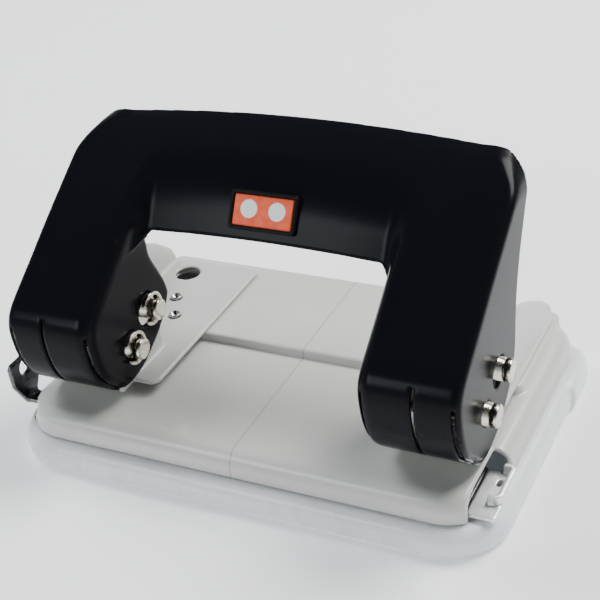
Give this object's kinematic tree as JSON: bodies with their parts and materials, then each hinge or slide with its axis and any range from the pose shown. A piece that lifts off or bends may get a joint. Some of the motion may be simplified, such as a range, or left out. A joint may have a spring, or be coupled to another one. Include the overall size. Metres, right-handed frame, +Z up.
{
  "type": "hole punch",
  "caption": "Office hole punch: bent sheet lever on punch frames, stepped base plate, sliding paper gauge and clip-on chip tray.",
  "frame": {"origin": "on the table under the chip tray, on the punch's centre line", "axes": "+X to the user's right along the row of holes, +Y to the back, away from the edge where paper goes in, +Z up"},
  "size_m": [0.1132, 0.0722, 0.0642],
  "materials": {
    "lever_black": "gloss",
    "badge_black": "satin",
    "badge_orange": "gloss",
    "deck_grey": "satin",
    "frame_grey": "satin",
    "tray_white": "gloss",
    "gauge_steel": "satin",
    "gauge_chrome": "mirror",
    "pin_nickel": "polished",
    "steel": "ground"
  },
  "bodies": {
    "base": {"base_plate": "deck_grey", "punch_frame_left": "frame_grey", "die_left": "steel", "fulcrum_pin_left": "pin_nickel", "fulcrum_ring_left": "pin_nickel", "return_spring_left": "steel", "punch_frame_right": "frame_grey", "die_right": "steel", "fulcrum_pin_right": "pin_nickel", "fulcrum_ring_right": "pin_nickel", "return_spring_right": "steel", "rivet_left_1": "steel", "rivet_left_2": "steel", "rivet_right_1": "steel", "rivet_right_2": "steel"},
    "lever": {"handle_shell": "lever_black", "badge_frame": "badge_black", "badge_plate": "badge_orange"},
    "punch_unit_left": {"punch_left": "steel", "punch_pin_left": "pin_nickel", "punch_ring_left": "pin_nickel", "spring_washer_left": "steel"},
    "punch_unit_right": {"punch_right": "steel", "punch_pin_right": "pin_nickel", "punch_ring_right": "pin_nickel", "spring_washer_right": "steel"},
    "gauge": {"gauge_bar": "gauge_steel", "gauge_pull": "gauge_chrome"},
    "tray": {"chip_tray": "tray_white"}
  },
  "joints": [
    {"name": "handle_press", "type": "hinge", "parent": "base", "child": "lever", "pos_m": [0, -0.0174, 0.0229], "axis": [-1, 0, 0], "range_deg": [0, 25], "stiffness_Nm_per_rad": 0.5, "springref_deg": -17.19},
    {"name": "punch_slide_left", "type": "slide", "parent": "base", "child": "punch_unit_left", "axis": [0, 0, -1], "range_m": [0, 0.0042], "deforming": ["return_spring_left"]},
    {"name": "punch_slide_right", "type": "slide", "parent": "base", "child": "punch_unit_right", "axis": [0, 0, -1], "range_m": [0, 0.0042], "deforming": ["return_spring_right"]},
    {"name": "gauge_slide", "type": "slide", "parent": "base", "child": "gauge", "axis": [-1, 0, 0], "range_m": [0, 0.096]},
    {"name": "tray_release", "type": "slide", "parent": "base", "child": "tray", "axis": [0, 0, -1], "range_m": [0, 0.025]}
  ],
  "couplings": [
    {"joint": "punch_slide_left", "follows": "handle_press", "m_per_rad": 0.00938},
    {"joint": "punch_slide_right", "follows": "handle_press", "m_per_rad": 0.00938}
  ]
}
